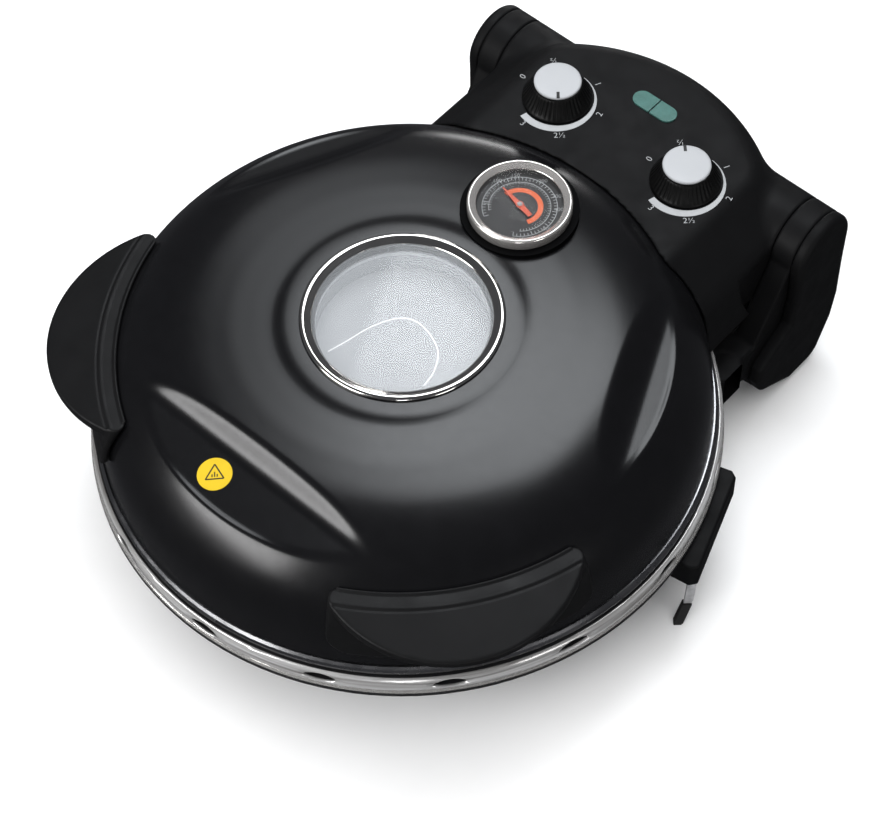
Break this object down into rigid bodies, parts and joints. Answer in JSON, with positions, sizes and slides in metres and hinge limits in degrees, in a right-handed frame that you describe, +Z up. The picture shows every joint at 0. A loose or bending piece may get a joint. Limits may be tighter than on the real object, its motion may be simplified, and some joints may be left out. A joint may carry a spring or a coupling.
{
  "type": "countertop pizza oven",
  "caption": "Round countertop pizza oven: stone base, domed hinged lid with sight window and temperature gauge, two heat knobs on a rear control housing.",
  "frame": {"origin": "on the table, at the centre of the oven's footprint box; the round oven's own axis is 38 mm in front of it", "axes": "+X to the oven's right seen from the front, +Y to the rear hinge, +Z up"},
  "size_m": [0.354, 0.416, 0.1622],
  "materials": {
    "black_lid": "semi-gloss black enamel",
    "black_pan": "black enamel",
    "chrome": "polished",
    "dark_chrome": "satin",
    "steel": "brushed",
    "reflector": "satin",
    "element": "oxidised",
    "stone": "unglazed cordierite",
    "black_plastic": "fine texture",
    "knob_black": "ribbed satin",
    "knob_white": "smooth",
    "rubber_black": "matte",
    "window_glass": "clear",
    "lens": "translucent green",
    "dial": "printed",
    "needle": "red enamel",
    "print_white": "printed ink",
    "marker_yellow": "printed label",
    "switch_body": "moulded"
  },
  "bodies": {
    "base": {"base_pan": "black_pan", "trim_ring": "chrome", "vent_ring": "chrome", "baking_stone": "stone", "lower_reflector": "reflector", "lower_element": "element", "lower_element_clips": "steel", "terminal_cover": "black_plastic", "cable_gland": "black_plastic", "feet": "rubber_black", "foot_screws": "steel", "hinge_bracket_left": "black_plastic", "hinge_bracket_right": "black_plastic", "bracket_cover_left": "black_plastic", "bracket_cover_right": "black_plastic", "bracket_pads": "rubber_black", "hinge_pin_left": "steel", "hinge_pin_right": "steel", "side_block_left": "black_plastic", "side_block_right": "black_plastic", "support_legs": "steel", "leg_tips": "rubber_black"},
    "lid": {"lid_shell": "black_lid", "lid_rim_ring": "dark_chrome", "lid_liner": "reflector", "upper_element": "element", "upper_element_clips": "steel", "window_bezel": "chrome", "window_glass": "window_glass", "window_gasket": "rubber_black", "window_retainer": "steel", "gauge_boss": "black_plastic", "gauge_case": "steel", "gauge_dial": "dial", "gauge_glass": "window_glass", "gauge_bezel": "chrome", "gauge_nut": "steel", "handle_left": "black_plastic", "handle_right": "black_plastic", "handle_screws": "steel", "marker_disc": "marker_yellow", "control_housing": "black_plastic", "housing_base": "black_plastic", "housing_screws": "steel", "switch_left": "switch_body", "switch_right": "switch_body", "indicator_lens_left": "lens", "indicator_lens_right": "lens", "lamp_holder": "switch_body", "scale_left": "print_white", "scale_right": "print_white"},
    "left_knob": {"knob_left_skirt": "knob_black", "knob_left_cap": "knob_white", "knob_left_shaft": "steel"},
    "right_knob": {"knob_right_skirt": "knob_black", "knob_right_cap": "knob_white", "knob_right_shaft": "steel"},
    "needle": {"gauge_needle": "needle"}
  },
  "joints": [
    {"name": "lid_hinge", "type": "hinge", "parent": "base", "child": "lid", "pos_m": [0, 0.169, 0.1055], "axis": [-1, 0, 0], "range_deg": [0, 105]},
    {"name": "left_knob_turn", "type": "hinge", "parent": "lid", "child": "left_knob", "pos_m": [-0.045, 0.138, 0.14], "axis": [0, 0, 1], "range_deg": [-46, 227]},
    {"name": "right_knob_turn", "type": "hinge", "parent": "lid", "child": "right_knob", "pos_m": [0.045, 0.138, 0.14], "axis": [0, 0, 1], "range_deg": [-229, 44]},
    {"name": "needle_turn", "type": "hinge", "parent": "lid", "child": "needle", "pos_m": [0, 0.0537, 0.158], "axis": [0, 0, 1], "range_deg": [-178, 46]}
  ]
}
